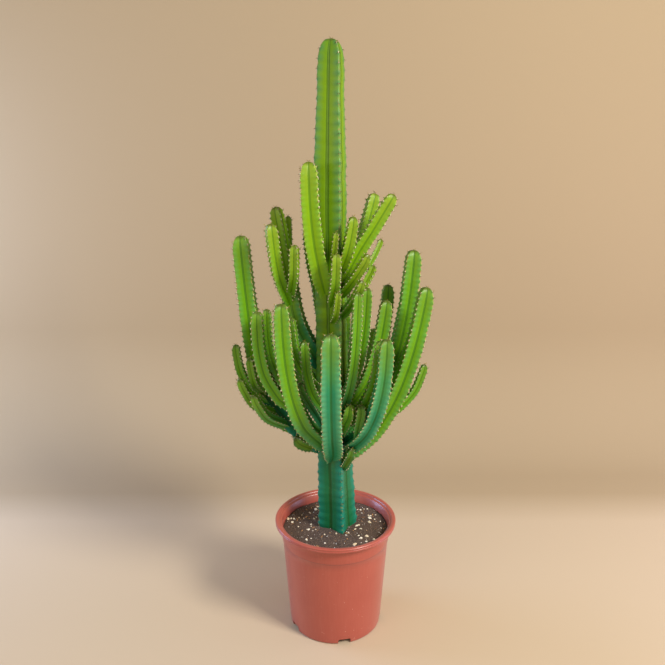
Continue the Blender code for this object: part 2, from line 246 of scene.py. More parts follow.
# Moulded polypropylene, terracotta coloured: satin, with drag marks from the mould and scuffs
def mouldedPolypropylene():
    material, tree, shader, spot = newMaterial("mouldedPolypropylene")
    height = add(tree, "SeparateXYZ", spot).outputs["Z"]
    clouds = add(tree, "TexNoise", named={"Vector": spot, "Scale": 14.0, "Detail": 4.0})
    # faint drag marks run up the wall, some 3 mm apart
    squashed = add(tree, "Mapping", spot, named={"Scale": (1.0, 1.0, 0.03)})
    drags = add(tree, "TexNoise", named={"Vector": squashed, "Scale": 330.0, "Detail": 2.0})
    dragged = add(tree, "MapRange", drags, 0.45, 0.75, 0.0, 0.12)
    # scuffs: short pale scratches, denser near the foot
    bent = add(tree, "Mapping", spot, named={"Scale": (1.0, 1.0, 2.6), "Rotation": (0.5, 0.3, 0.0)})
    scratch = add(tree, "TexNoise", named={
        "Vector": bent, "Scale": 75.0, "Detail": 5.0, "Roughness": 0.7, "Distortion": 1.5})
    thin = add(tree, "MapRange", scratch, 0.66, 0.71, 0.0, 0.5)
    low = add(tree, "MapRange", height, 0.14, 0.01, 0.25, 1.0)
    scuffs = add(tree, "Math", thin, low, operation="MULTIPLY")
    # dust specks, half a millimetre
    specks = add(tree, "TexVoronoi", named={"Vector": spot, "Scale": 110.0})
    dots = add(tree, "MapRange", specks.outputs["Distance"], 0.075, 0.05, 0.0, 0.75)
    sparse = add(tree, "MapRange", clouds, 0.52, 0.6)
    dust = add(tree, "Math", dots, sparse, operation="MULTIPLY")
    # painted shade: a thin dark line along the collar's step
    fromStep = add(tree, "Math", height, pot["collarAt"] - 0.2 * mm, operation="SUBTRACT")
    distance = add(tree, "Math", fromStep, operation="ABSOLUTE")
    paintedStepShade = add(tree, "MapRange", distance, 0.8 * mm, 0.4 * mm, 0.0, 0.7)
    colour = layered(tree, linear("#a4493b"), [
        (clouds, "#b35849"), (dragged, "#c87a6a"), (scuffs, "#e2b2a2"),
        (dust, "#f0dccc"), (paintedStepShade, "#52252a")])
    satin = add(tree, "MapRange", drags, 0.3, 0.7, 0.28, 0.38)
    rough = add(tree, "Math", scuffs, 0.5, satin, operation="MULTIPLY_ADD")
    relief = add(tree, "Math", scratch, 0.7, drags,
                 operation="MULTIPLY_ADD")
    bump = add(tree, "Bump", named={"Strength": 0.12, "Distance": 0.3 * mm, "Height": relief})
    plug(tree, shader, {
        "Base Color": colour, "Roughness": rough, "Normal": bump, "IOR": 1.49,
        "Coat Weight": 0.35, "Coat Roughness": 0.28, "Sheen Weight": 0.14, "Sheen Roughness": 0.4,
        "Sheen Tint": linear("#d9c4e0")})
    return material


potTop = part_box("nursery_pot")[1]


def wallAt(height):
    share = height / (potTop.z - pot["lipDepth"])
    return pot["wallFoot"] + (pot["wallTop"] - pot["wallFoot"]) * share


def arcPoints(middle, radius, start, end, count):
    turns = [math.radians(start + (end - start) * i / count) for i in range(count + 1)]
    return [(middle[0] + radius * math.cos(a), middle[1] + radius * math.sin(a)) for a in turns]


# (radius, height) from the middle of the underside, up the outside, over the lip and down inside
def potProfile():
    top, lip, inside = potTop.z, potTop.x, pot["lipInside"]
    bead, corner, step, collar = pot["bead"], pot["corner"], pot["collarStep"], pot["collarAt"]
    under = top - pot["lipDepth"]
    points = [(0, pot["recess"]), (pot["footRing"] - 2 * mm, pot["recess"]), (pot["footRing"], 0)]
    points += arcPoints((pot["wallFoot"] - corner, corner), corner, -90, 0, 6)
    rows = 12
    for i in range(1, rows + 1):
        height = corner + (collar - step - corner) * i / rows
        points.append((wallAt(height), height))
    points += [(wallAt(collar) + step * 0.8, collar),
               (wallAt(collar) + step, collar + 0.6 * mm),
               (wallAt(collar) + step, collar + 12 * mm),
               (pot["wallTop"] + step, under - 1 * mm), (pot["wallTop"] + step * 1.6, under)]
    points += arcPoints((lip - bead, under + bead * 0.85), bead * 0.85, -90, 50, 6)
    points += arcPoints((lip - bead, top - bead), bead, -35, 95, 8)
    points += [(inside + 2.4 * mm, top - 0.3 * mm), (inside + 0.9 * mm, top - 1.3 * mm),
               (inside + 0.2 * mm, top - 3.4 * mm), (inside - 2.2 * mm, top - 4.2 * mm),
               (pot["wallTop"] - pot["wall"] + step, top - 6 * mm)]
    for i in range(1, 8):
        height = top - 6 * mm + (pot["floor"] + 4 * mm - top + 6 * mm) * i / 7
        points.append((wallAt(height) - pot["wall"], height))
    points += [(wallAt(0) - pot["wall"] - 3 * mm, pot["floor"]), (0, pot["floor"])]
    return points


# faces outward where the profile runs from the underside's middle, up the outside and back in
def turned(name, profile, steps):
    points, rows, faces = [], [], []
    for radius, height in profile:
        count = steps if radius > 0 else 1
        rows.append([len(points) + i % count for i in range(steps)])
        for i in range(count):
            turn = 2 * math.pi * i / steps
            points.append((radius * math.cos(turn), radius * math.sin(turn), height))
    for low, high in zip(rows, rows[1:]):
        for i in range(steps):
            after = (i + 1) % steps
            corners = (low[i], low[after], high[after], high[i])
            faces.append(list(dict.fromkeys(corners)))  # three at a pole
    data = bpy.data.meshes.new(name)
    data.from_pydata(points, [], faces)
    return linked(name, data)


# a block with rounded upright corners, set at the wall's foot
def notchCutter(number):
    azimuth = math.radians(pot["firstNotch"] + 360 * number / pot["notches"])
    inner, outer = pot["wallFoot"] - pot["notchDeep"], pot["wallFoot"] + 10 * mm
    cage = bmesh.new()
    bmesh.ops.create_cube(cage, size=1)
    for vert in cage.verts:
        vert.co = Vector((inner if vert.co.x < 0 else outer, vert.co.y * pot["notchWide"],
                          -5 * mm if vert.co.z < 0 else pot["notchHigh"]))
    upper = [e for e in cage.edges if all(v.co.z > 0 for v in e.verts)
             and abs(e.verts[0].co.y - e.verts[1].co.y) < mm]
    bmesh.ops.bevel(cage, geom=upper, offset=pot["notchRound"], segments=5, affect="EDGES",
                    profile=0.5)
    bmesh.ops.rotate(cage, verts=cage.verts, matrix=Matrix.Rotation(azimuth, 3, "Z"))
    data = bpy.data.meshes.new(f"notch_{number}")
    cage.to_mesh(data)
    cage.free()
    return linked(data.name, data)


# cuts the notches out of a piece, with the cutters made that much larger
def cutNotches(piece, size):
    for number in range(pot["notches"]):
        cutter = notchCutter(number)
        cutter.data.transform(Matrix.Scale(size, 4))
        cut = piece.modifiers.new("notch", "BOOLEAN")
        cut.operation = "DIFFERENCE"
        cut.object = cutter
        done = worked(piece)
        piece.modifiers.clear()
        piece.data = done
        bpy.data.objects.remove(cutter, do_unlink=True)


def buildPot():
    piece = turned("nursery_pot_shell", potProfile(), pot["steps"])
    cutNotches(piece, 1)
    # thin plastic never stays quite round
    for vert in piece.data.vertices:
        lift = max(0, vert.co.z - 0.02) / 0.2
        push = noise.noise(Vector((vert.co.x, vert.co.y, 0.3 * vert.co.z)) * 14) * pot["outOfRound"] * lift
        outward = Vector((vert.co.x, vert.co.y, 0))
        if outward.length > mm:
            vert.co += outward.normalized() * push
    piece.data.shade_smooth()
    piece.data.set_sharp_from_angle(angle=math.radians(pot["sharpAngle"]))
    piece.data.materials.clear()
    piece.data.materials.append(mouldedPolypropylene())
    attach(piece, "root")
    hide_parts("nursery_pot")


buildPot()
print("pot is turned")


# The potting mix is an uneven bed of peat, with crumbs, pumice, perlite and bark on it
mix = {
    "level": 206 * mm,
    "mound": 8 * mm,
    "moundWide": 62 * mm,
    "trunkAt": 7 * mm,
    "gap": 0.3 * mm,
    "rings": 46,
    "steps": 120,
    "notchEase": 1.01,  # the mix stands back from the notches by this much
    "topRings": 30,  # the plain disc that the grains are scattered on
    "topSteps": 90,
    "topShare": 0.97,
    "lumps": 2.6 * mm,
    "grit": 1.0 * mm,
    # name, grains to a square metre, smallest, largest, shape (long, wide, high), how far sunk
    "grains": [
        ("peat_crumbs", 60000, 1.0 * mm, 3.4 * mm, (1.0, 0.85, 0.75), 0.25),
        ("pumice_grains", 2300, 3.8 * mm, 9.5 * mm, (1.0, 0.7, 0.6), 0.0),
        ("perlite_specks", 5500, 0.8 * mm, 2.3 * mm, (1.0, 0.9, 0.8), 0.0),
        ("bark_chips", 3200, 4.0 * mm, 10.0 * mm, (1.0, 0.32, 0.22), 0.0),
    ],
}


# Damp peat: dark brown, matt, mottled in crumbs of 1 to 4 mm
def dampPeat():
    material, tree, shader, spot = newMaterial("dampPeat")
    fine = add(tree, "TexNoise", named={
        "Vector": spot, "Scale": 420.0, "Detail": 5.0, "Roughness": 0.7})
    broad = add(tree, "TexNoise", named={"Vector": spot, "Scale": 30.0, "Detail": 2.0})
    pale = add(tree, "MapRange", fine, 0.46, 0.74)
    colour = layered(tree, linear("#261c17"), [
        (broad, "#55433b"), (pale, "#7c6656")])
    bump = add(tree, "Bump", named={"Strength": 0.7, "Distance": 0.8 * mm, "Height": fine})
    plug(tree, shader, {"Base Color": colour, "Roughness": 0.92, "Normal": bump})
    return material


# Loose mineral or wood grains: one colour to each, from a range, with pits about a millimetre across
def grainMaterial(name, low, high, roughness):
    material, tree, shader, spot = newMaterial(name)
    own = add(tree, "Attribute", attribute_name="tone").outputs["Fac"]
    pits = add(tree, "TexNoise", named={"Vector": spot, "Scale": 800.0, "Detail": 3.0})
    uneven = add(tree, "Math", pits, 0.5, own, operation="MULTIPLY_ADD")
    shade = add(tree, "MapRange", uneven, 0.2, 1.3)
    colour = layered(tree, linear(low), [(shade, high)])
    bump = add(tree, "Bump", named={"Strength": 0.5, "Distance": 0.3 * mm, "Height": pits})
    plug(tree, shader, {"Base Color": colour, "Roughness": roughness, "Normal": bump})
    return material


peat = dampPeat()
grainLooks = {
    "peat_crumbs": grainMaterial("peatCrumb", "#2a1f1a", "#917a69", 0.93),
    "pumice_grains": grainMaterial("brokenPumice", "#dcc49a", "#fff8e8", 0.85),
    "perlite_specks": grainMaterial("expandedPerlite", "#d9d2c4", "#ffffff", 0.8),
    "bark_chips": grainMaterial("splitBark", "#74482a", "#cf9c66", 0.9),
}


# Scatters lumps over the upward faces of a mesh and drops the mesh itself
def scatterTree():
    tree, given = newTree("scatteredGrains", {
        "Density": 1000.0, "Smallest": 0.001, "Largest": 0.003, "Long": 1.0, "Wide": 1.0, "High": 1.0,
        "Sunk": 0.2, "Seed": 1, "Material": peat})
    maths, vector = "Math", "VectorMath"
    normal = add(tree, "SeparateXYZ", add(tree, "InputNormal"))
    upward = add(tree, maths, normal.outputs["Z"], 0.5, operation="GREATER_THAN")
    points = add(tree, "DistributePointsOnFaces", given["Geometry"], upward,
                 named={"Density": given["Density"], "Seed": given["Seed"]})

    # four broken shapes, each an icosphere pushed about by its own noise
    shapes = add(tree, "JoinGeometry")
    for number in range(4):
        ball = add(tree, "MeshIcoSphere", 0.5, 1 if number % 2 else 2)
        spot = add(tree, "InputPosition")
        away = add(tree, vector, spot, (number * 7.3, number * 3.1, 0.0), operation="ADD")
        rough = add(tree, "TexNoise", named={"Vector": away, "Scale": 2.2, "Detail": 1.0})
        strength = add(tree, "MapRange", rough, 0.3, 0.7, 0.55, 1.25)
        pushed = add(tree, vector, spot, named={"Scale": strength}, operation="SCALE")
        formed = add(tree, "SetPosition", ball, None, pushed)
        single = add(tree, "GeometryToInstance", formed)
        tree.links.new(single.outputs[0], shapes.inputs[0])

    seed = add(tree, maths, given["Seed"], 11.0, operation="ADD")
    size = add(tree, "FunctionNodeRandomValue",
               named={2: 0.0, 3: 1.0, "Seed": seed})
    small = add(tree, maths, size.outputs[1], 1.8, operation="POWER")
    span = add(tree, maths, given["Largest"], given["Smallest"], operation="SUBTRACT")
    across = add(tree, maths, small, span, given["Smallest"], operation="MULTIPLY_ADD")
    form = add(tree, "CombineXYZ", given["Long"], given["Wide"], given["High"])
    scale = add(tree, vector, form, named={"Scale": across}, operation="SCALE")
    tilt = add(tree, "FunctionNodeRandomValue", data_type="FLOAT_VECTOR",
               named={0: (-0.45, -0.45, 0.0), 1: (0.45, 0.45, 6.28), "Seed": given["Seed"]})
    drop = add(tree, maths, add(tree, maths, across, given["Sunk"], operation="MULTIPLY"), -1.0,
               operation="MULTIPLY")
    sink = add(tree, "CombineXYZ", 0.0, 0.0, drop)
    lowered = add(tree, "SetPosition", points, None, None, sink)
    toned = add(tree, "StoreNamedAttribute", lowered, None, "tone",
                add(tree, "FunctionNodeRandomValue",
                    named={2: 0.0, 3: 1.0, "Seed": given["Seed"]}).outputs[1])
    lumps = add(tree, "InstanceOnPoints", toned, None, shapes,
                named={"Pick Instance": True, "Rotation": tilt, "Scale": scale})
    real = add(tree, "RealizeInstances", lumps)
    done = add(tree, "SetMaterial", real, named={"Material": given["Material"]})
    add(tree, "NodeGroupOutput", done)
    return tree


# height of the mix above the floor at (x, y), before its crumbs
def mixHeight(x, y):
    fromTrunk = math.hypot(x - mix["trunkAt"], y)
    height = mix["level"] + mix["mound"] * math.exp(-((fromTrunk / mix["moundWide"]) ** 2))
    height += noise.noise(Vector((x, y, 0)) * 45) * mix["lumps"]
    height += noise.noise(Vector((x, y, 7)) * 170) * mix["grit"]
    return height + noise.noise(Vector((x, y, 13)) * 420) * mix["grit"] * 0.5


def buildMix():
    side = pot["wall"] + mix["gap"]
    edge = wallAt(mix["level"]) - side
    profile = [(edge * (i / mix["rings"]) ** 0.8, mix["level"]) for i in range(mix["rings"] + 1)]
    profile += [(wallAt(h) - side, h) for h in (195 * mm, 120 * mm, 60 * mm, pot["floor"] + 4 * mm)]
    profile += [(pot["wallFoot"] - side - 5 * mm, pot["floor"] + mix["gap"]), (0, pot["floor"] + mix["gap"])]
    bed = turned("potting_mix_bed", profile[::-1], mix["steps"])
    for vert in bed.data.vertices:
        if vert.co.z > mix["level"] - 0.1 * mm:
            vert.co.z = mixHeight(vert.co.x, vert.co.y)
    cutNotches(bed, mix["notchEase"])
    bed.data.shade_smooth()
    bed.data.materials.clear()
    bed.data.materials.append(peat)
    scatter = scatterTree()
    rings = mix["topRings"]
    disc = [(edge * mix["topShare"] * i / rings, mix["level"]) for i in range(rings, -1, -1)]
    top = turned("mix_top", disc, mix["topSteps"])
    for vert in top.data.vertices:
        vert.co.z = mixHeight(vert.co.x, vert.co.y)
    for seed, (name, density, smallest, largest, form, sunk) in enumerate(mix["grains"]):
        grains = grown(name, top.data.copy(), scatter, {
            "Density": density, "Smallest": smallest, "Largest": largest, "Long": form[0],
            "Wide": form[1], "High": form[2], "Sunk": sunk, "Seed": seed + 3,
            "Material": grainLooks[name]})
        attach(grains, "root")
        print(name, len(grains.data.polygons), "faces")
    bpy.data.objects.remove(top, do_unlink=True)
    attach(bed, "root")
    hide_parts("potting_mix")


buildMix()
print("potting mix is filled in")


# Waxy skin of a succulent stem: satin, bluish where it is old, yellow-green where it is new.
# Reads the attributes that the stem tree stores: groove (0 on a rib's edge, 1 in the groove),
# beat (areoles counted along a rib), toTip (metres) and coolness (metres by which it seems lower).
def stemSkin(name, look):
    material, tree, shader, spot = newMaterial(name)
    groove, beat, toTip, cool = [add(tree, "Attribute", attribute_name=stored).outputs["Fac"]
                                 for stored in ("groove", "beat", "toTip", "coolness")]
    height = add(tree, "SeparateXYZ", spot).outputs["Z"]

    # old to new tissue, by height on the plant, broken up by patches some 60 mm across
    patches = add(tree, "TexNoise", named={"Vector": spot, "Scale": 16.0, "Detail": 3.0})
    lowered = add(tree, "Math", height, cool, operation="SUBTRACT")
    lifted = add(tree, "Math", patches, 0.16, lowered, operation="MULTIPLY_ADD")
    age = add(tree, "MapRange", lifted, look["oldBelow"] + 0.08, look["newAbove"] + 0.08)

    # the flanks turn bluer towards the rib's edge
    oldness = add(tree, "MapRange", age, 0.0, 1.0, 1.0, look["lasting"])
    nearEdge = add(tree, "MapRange", groove, 0.5, 0.08, 0.0, look["flanking"])
    flank = add(tree, "Math", nearEdge, oldness, operation="MULTIPLY")

    # the last stretch before a tip is the freshest
    fresh = add(tree, "MapRange", toTip, 0.0, 0.07, 0.55, 0.0)

    # cross bands, one to each areole, strongest beside the rib's edge
    turns = add(tree, "Math", beat, 2 * math.pi, operation="MULTIPLY")
    wobble = add(tree, "TexNoise", named={"Vector": spot, "Scale": 90.0, "Detail": 2.0})
    shifted = add(tree, "Math", wobble, 3.0, turns, operation="MULTIPLY_ADD")
    wave = add(tree, "Math", add(tree, "Math", shifted, operation="SINE"), 0.5, 0.5,
               operation="MULTIPLY_ADD")
    nearRib = add(tree, "MapRange", groove, 0.6, 0.12)
    strength = add(tree, "MapRange", age, 0.0, 1.0, *look["banding"])
    waned = add(tree, "Math", nearRib, strength, operation="MULTIPLY")
    bands = add(tree, "Math", wave, waned, operation="MULTIPLY")

    # the groove: a pale vein between two darker ones
    dark = add(tree, "MapRange", groove, 0.78, 0.86, 0.0, 0.62)
    pale = add(tree, "MapRange", groove, 0.91, 0.95, 0.0, look["lining"])
    paleNew = add(tree, "Math", pale, age, operation="MULTIPLY")

    # corky margin along the rib's edge, patchy, about 1.5 mm wide
    flecks = add(tree, "TexNoise", named={"Vector": spot, "Scale": 260.0, "Detail": 3.0})
    edge = add(tree, "MapRange", groove, 0.12, 0.03, 0.0, 1.0)
    patchy = add(tree, "MapRange", flecks, look["corkGap"], look["corkGap"] + 0.15)
    cork = add(tree, "Math", edge, patchy, operation="MULTIPLY")

    # the very tip is brown with the scales of unopened areoles
    closed = add(tree, "MapRange", toTip, 7 * mm, 1.5 * mm, 0.0, 1.2)
    scales = add(tree, "Math", closed, flecks, operation="MULTIPLY", use_clamp=True)

    # pale pores and old scars, a millimetre or two across
    pores = add(tree, "TexVoronoi", named={"Vector": spot, "Scale": 170.0})
    dots = add(tree, "MapRange", pores.outputs["Distance"], 0.16, 0.08, 0.0, 0.35)
    few = add(tree, "MapRange", patches, 0.5, 0.62)
    scars = add(tree, "Math", dots, few, operation="MULTIPLY")

    colour = layered(tree, linear(look["old"]), [
        (age, look["new"]), (flank, look["flank"]), (fresh, look["tip"]), (bands, look["band"]),
        (dark, look["vein"]), (paleNew, look["line"]), (cork, look["cork"]), (scales, tipScales),
        (scars, look["line"])])
    satin = add(tree, "MapRange", flecks, 0.3, 0.7, look["roughness"] - 0.07, look["roughness"] + 0.09)
    rough = add(tree, "Math", cork, 0.35, satin, operation="MULTIPLY_ADD")
    grain = add(tree, "Math", wobble, 2.0, flecks, operation="MULTIPLY_ADD")
    bump = add(tree, "Bump", named={"Strength": 0.25, "Distance": 0.6 * mm, "Height": grain})
    plug(tree, shader, {
        "Base Color": colour, "Roughness": rough, "Normal": bump, "IOR": 1.45,
        "Specular IOR Level": 0.32, "Coat Weight": 0.05, "Coat Roughness": 0.35})
    return material


tipScales = "#43301a"
# flanking is the strength of the flank's colour and lasting what new tissue keeps of it, lining the
# pale vein's strength, banding the bands' on old and on new tissue; a higher corkGap leaves less cork
skins = {
    "old_stem_skin": stemSkin("agedWaxySkin", {
        "old": "#0f6a3e", "new": "#6f9400", "flank": "#158a7a", "tip": "#4f7c1c", "band": "#0f6a60",
        "vein": "#1f4a0c", "line": "#7aa030", "cork": "#8f8448", "flanking": 0.6, "lasting": 0.32,
        "lining": 0.5, "oldBelow": 0.36, "newAbove": 0.47, "banding": (0.12, 0.3),
        "corkGap": 0.52, "roughness": 0.42}),
    "green_stem_skin": stemSkin("matureWaxySkin", {
        "old": "#228458", "new": "#689f0c", "flank": "#6cb884", "tip": "#6f8c24", "band": "#2b906a",
        "vein": "#1f5a06", "line": "#8ab848", "cork": "#b39a50", "flanking": 0.8, "lasting": 0.22,
        "lining": 0.12, "oldBelow": 0.29, "newAbove": 0.46, "banding": (0.4, 0.12),
        "corkGap": 0.46, "roughness": 0.40}),
    "young_stem_skin": stemSkin("youngWaxySkin", {
        "old": "#478a00", "new": "#7da802", "flank": "#86b850", "tip": "#8c9a2c", "band": "#4f9a2c",
        "vein": "#3a6e00", "line": "#a4c63c", "cork": "#c0ac5c", "flanking": 0.6, "lasting": 0.45,
        "lining": 0.1, "oldBelow": 0.56, "newAbove": 0.74, "banding": (0.35, 0.18),
        "corkGap": 0.50, "roughness": 0.40}),
}


# the finish of a small part: two tones in flecks of one size, with a relief if it has a depth
def fleckedFinish(name, scale, low, high, roughness, depth=None):
    material, tree, shader, spot = newMaterial(name)
    flecks = add(tree, "TexNoise", named={"Vector": spot, "Scale": scale, "Detail": 2.0})
    colour = layered(tree, linear(low), [(flecks, high)])
    plug(tree, shader, {"Base Color": colour, "Roughness": roughness})
    if depth:
        bump = add(tree, "Bump", named={"Strength": 0.5, "Distance": depth, "Height": flecks})
        plug(tree, shader, {"Normal": bump})
    return material


# Areole felt: short matted hairs, cream when new and grey-brown later
felt = fleckedFinish("areoleFelt", 900.0, "#8f8a4c", "#f2efc8", 0.95, depth=0.2 * mm)
# Spines are horn: hard and polished, dark brown with paler flecks
horn = fleckedFinish("spineHorn", 420.0, "#20120c", "#6a3c22", 0.35)
# The first leaves at a tip last only weeks: thin, flushed red-brown in places
leaf = fleckedFinish("tipLeaf", 300.0, "#8f9a35", "#94502e", 0.5)
print("plant materials are mixed")


# Each CAD stem's own sections give its path, and a node tree grows the skin on it
stemLook = {
    "firstRib": Vector((0.82, 0.53, 0.2)),  # the rib nearest this way is the first one
    "ringStep": 2.4 * mm,
    "roundPoints": 48,
    "leaderPoints": 64,
    "grooveReach": 0.60,  # of the girth: a little shallower than the CAD solid has it
    "leaderGroove": 0.645,
    "edgeRound": 0.06,
    "pathStep": 8 * mm,
    "areoleSpacing": 10 * mm,
    "leaderSpacing": 16 * mm,
    "spine": 2.7 * mm,
    # the rest are in girths of the stem; neckShare is what is left of its girth where it joins
    "ripple": 0.014,
    "lump": 0.05,
    "toothHeight": 0.10,
    "leaderTeeth": 0.035,
    "domeLength": 1.6,
    "neckLength": 2.2,
    "neckShare": 0.6,
    # stems whose skin stays blue-green further up than its height would make it, in metres
    "coolness": {"front_stem": 0.22, "front_right_stem": 0.20, "left_front_spur": 0.14,
                 "right_slim_stem": 0.10, "left_low_stem": 0.06, "far_left_limb": 0.14,
                 "upper_left_limb": 0.2},
    "coolSpread": 0.05,
}


# in one fixed order, so that the script makes the same stems each time
def byIndex(corners):
    return sorted(set(corners), key=lambda v: v.index)


# the CAD stem's own sections, tip first: (middle, reach of the ribs, one rib's direction)
def sectionsOf(node):
    cage = bmesh.new()
    cage.from_mesh(node.data)
    bmesh.ops.remove_doubles(cage, verts=cage.verts, dist=0.01 * mm)
    cage.normal_update()
    cage.verts.index_update()
    caps = []
    left = set(cage.faces)
    for start in cage.faces:
        if start not in left:
            continue
        left.remove(start)
        group, edge = set(), [start]
        flat = start.normal.copy()
        while edge:
            face = edge.pop()
            group.add(face)
            for side in face.edges:
                for other in side.link_faces:
                    if other in left and other.normal.dot(flat) > 0.9999:
                        left.remove(other)
                        edge.append(other)
        corners = byIndex(v for face in group for v in face.verts)
        if len(group) == 6 and len(corners) == 8:
            middle = sum((v.co for v in corners), Vector()) / 8
            caps.append((sum((v.co - middle).length for v in corners), corners))
    ring = min(caps, key=lambda cap: cap[0])[1]
    seen, sections, way = set(ring), [], stemLook["firstRib"]
    while len(ring) == 8:
        middle = sum((v.co for v in ring), Vector()) / 8
        ribs = sorted(ring, key=lambda v: -(v.co - middle).length)[:4]
        reach = sum((v.co - middle).length for v in ribs) / 4
        ways = [(v.co - middle).normalized() for v in ribs]
        way = max(ways, key=lambda w: w.dot(way))
        sections.append((middle, reach, way))
        ring = byIndex({side.other_vert(v) for v in ring for side in v.link_edges} - seen)
        seen |= set(ring)
    # what is left of the stem was cut to fit its parent: its far half marks where it joins
    rest = [v.co.copy() for v in cage.verts if v not in seen or v in ring]
    cage.free()
    return sections, rest


# middles of the stem from inside its parent to the tip, with the girth and a rib's direction
def pathOf(node, isMain):
    sections, rest = sectionsOf(node)
    body = [reach for middle, reach, way in sections[3:]] or [sections[0][1] / 0.28]
    knots = []
    for i, (middle, reach, way) in enumerate(sections):
        knots.append((middle, reach if i > 2 else body[0], way))
    if not isMain:
        last, girth, way = knots[-1]
        before = knots[-2][0]
        inward = (last - before).normalized()
        if rest:
            rest.sort(key=lambda p: (round((p - last).dot(inward), 6), p.x, p.y, p.z))
            far = rest[len(rest) // 2 :]
            foot = sum(far, Vector()) / len(far)
        else:
            foot = last + inward * girth
        if (foot - last).length > 0.5 * girth:
            inward = ((foot - last).normalized() + inward * 0.3).normalized()
            knots.append((foot, girth, way))
        knots.append((foot + inward * 0.9 * girth, girth, way))
    knots.reverse()
    return knots


# a smooth line through the knots, evenly stepped, as a mesh of edges with its attributes
def pathMesh(name, knots):
    points = [knot[0] for knot in knots]
    marks = [0.0]
    for before, after in zip(points, points[1:]):
        marks.append(marks[-1] + (after - before).length)
    slopes = []
    for i in range(len(points)):
        low, high = max(i - 1, 0), min(i + 1, len(points) - 1)
        slopes.append((points[high] - points[low]) / (marks[high] - marks[low]))
    count = max(4, round(marks[-1] / stemLook["pathStep"]))
    line, girths, ways = [], [], []
    for step in range(count + 1):
        at = marks[-1] * step / count
        i = max(k for k in range(len(marks) - 1) if marks[k] <= at + 1e-9)
        span = marks[i + 1] - marks[i]
        t = (at - marks[i]) / span
        line.append(points[i] * (1 + 2 * t) * (1 - t) ** 2 + slopes[i] * span * t * (1 - t) ** 2
                    + points[i + 1] * t * t * (3 - 2 * t) - slopes[i + 1] * span * t * t * (1 - t))
        girths.append(knots[i][1] * (1 - t) + knots[i + 1][1] * t)
        ways.append((knots[i][2] * (1 - t) + knots[i + 1][2] * t).normalized())
    data = bpy.data.meshes.new(name + "_path")
    data.from_pydata(line, [(i, i + 1) for i in range(count)], [])
    data.attributes.new("girth", "FLOAT", "POINT").data.foreach_set("value", girths)
    flat = [value for way in ways for value in way]
    data.attributes.new("ribWay", "FLOAT_VECTOR", "POINT").data.foreach_set("vector", flat)
    return data


